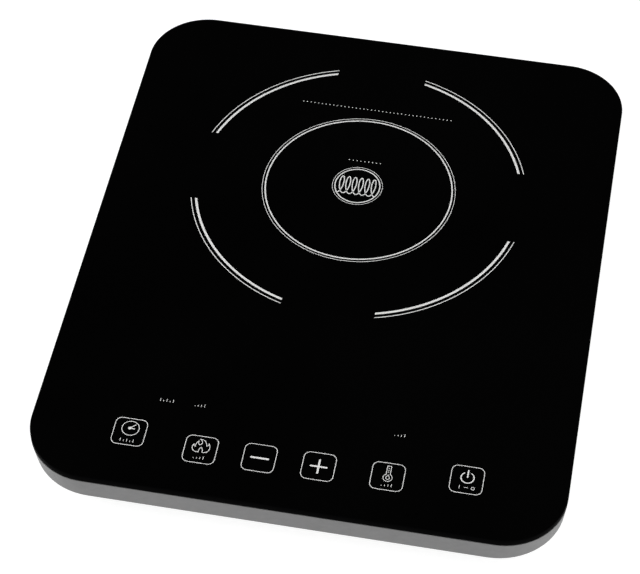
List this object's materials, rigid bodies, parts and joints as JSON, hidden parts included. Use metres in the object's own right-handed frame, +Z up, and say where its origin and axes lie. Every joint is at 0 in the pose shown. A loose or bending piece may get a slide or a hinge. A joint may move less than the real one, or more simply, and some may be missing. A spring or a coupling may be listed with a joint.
{
  "type": "electric induction cooktop",
  "caption": "Slim portable induction cooktop: black glass plate on a grey side frame and sloping base shell, with a flat spiral coil, power board and cooling fan inside.",
  "frame": {"origin": "middle of the footprint, on the worktop under the feet", "axes": "+X to the user's right, +Y to the back, +Z up"},
  "size_m": [0.29, 0.3526, 0.04],
  "materials": {
    "black_glass": "polished black glass-ceramic",
    "white_print": "fired white enamel print",
    "bond_silicone": "cured silicone",
    "grey_plastic": "fine moulded texture",
    "black_plastic": "moulded texture",
    "gland_plastic": "satin",
    "zinc_steel": "zinc plated",
    "foot_rubber": "matt",
    "white_heatproof_plastic": "glass-filled, heatproof",
    "litz_copper": "stranded enamelled copper",
    "enamelled_copper": "enamelled",
    "lead_sleeve": "woven glass sleeve",
    "brass_terminal": "turned",
    "mica": "pressed mica",
    "white_silicone": "matt",
    "sensor_metal": "drawn",
    "cable_white": "satin",
    "cable_black": "satin",
    "cable_grey": "ribbon",
    "board_tan": "phenolic board",
    "board_green": "solder mask",
    "sink_aluminium": "extruded",
    "device_epoxy": "moulded epoxy",
    "film_yellow": "boxed film",
    "ferrite": "sintered",
    "ferrite_ring": "coated ring",
    "fuse_glass": "clear tube",
    "tinned_steel": "tinned",
    "varistor_blue": "dipped",
    "transformer_tape": "taped winding",
    "can_sleeve": "shrink sleeve",
    "fan_plastic": "glass-filled",
    "bearing_bronze": "sintered",
    "stator_steel": "laminated",
    "magnet": "bonded ferrite",
    "shaft_steel": "ground",
    "display_black": "smoked lens",
    "led_red": "clear tinted"
  },
  "bodies": {
    "cooktop": {"base_shell": "black_plastic", "bridge_rectifier": "device_epoxy", "bus_capacitor": "film_yellow", "buzzer": "device_epoxy", "case_screws": "zinc_steel", "choke_core": "ferrite_ring", "choke_winding": "enamelled_copper", "coil_carrier": "white_heatproof_plastic", "coil_leads": "lead_sleeve", "coil_sensor": "sensor_metal", "coil_terminals": "brass_terminal", "control_board": "board_green", "control_chip": "device_epoxy", "cord_gland": "gland_plastic", "device_screws": "zinc_steel", "display_module": "display_black", "electrolytic_capacitors": "can_sleeve", "fan_bearing": "bearing_bronze", "fan_cable": "cable_black", "fan_housing": "fan_plastic", "fan_screws": "zinc_steel", "fan_stator": "stator_steel", "ferrite_bar_1": "ferrite", "ferrite_bar_2": "ferrite", "ferrite_bar_3": "ferrite", "ferrite_bar_4": "ferrite", "ferrite_bar_5": "ferrite", "ferrite_bar_6": "ferrite", "foot_front_left": "foot_rubber", "foot_front_right": "foot_rubber", "foot_rear_left": "foot_rubber", "foot_rear_right": "foot_rubber", "fuse": "fuse_glass", "fuse_clips": "tinned_steel", "glass_adhesive": "bond_silicone", "glass_plate": "black_glass", "heat_sink": "sink_aluminium", "indicator_leds": "led_red", "induction_coil": "litz_copper", "inner_screws": "zinc_steel", "main_board": "board_tan", "mains_capacitor": "film_yellow", "mica_sheet": "mica", "panel_cable": "cable_grey", "power_transistor": "device_epoxy", "resonant_capacitor": "film_yellow", "sensor_cable": "cable_white", "sensor_holder": "white_silicone", "side_frame": "grey_plastic", "supply_transformer": "transformer_tape", "touch_spring_heat": "tinned_steel", "touch_spring_minus": "tinned_steel", "touch_spring_plus": "tinned_steel", "touch_spring_power": "tinned_steel", "touch_spring_temp": "tinned_steel", "touch_spring_timer": "tinned_steel", "varistor": "varistor_blue"},
    "fan_rotor": {"fan_impeller": "fan_plastic", "fan_magnet_ring": "magnet", "fan_shaft": "shaft_steel"}
  },
  "joints": [
    {"name": "fan_spin", "type": "hinge", "parent": "cooktop", "child": "fan_rotor", "pos_m": [-0.08, -0.072, 0.0155], "axis": [0, 0, 1], "continuous": true}
  ]
}
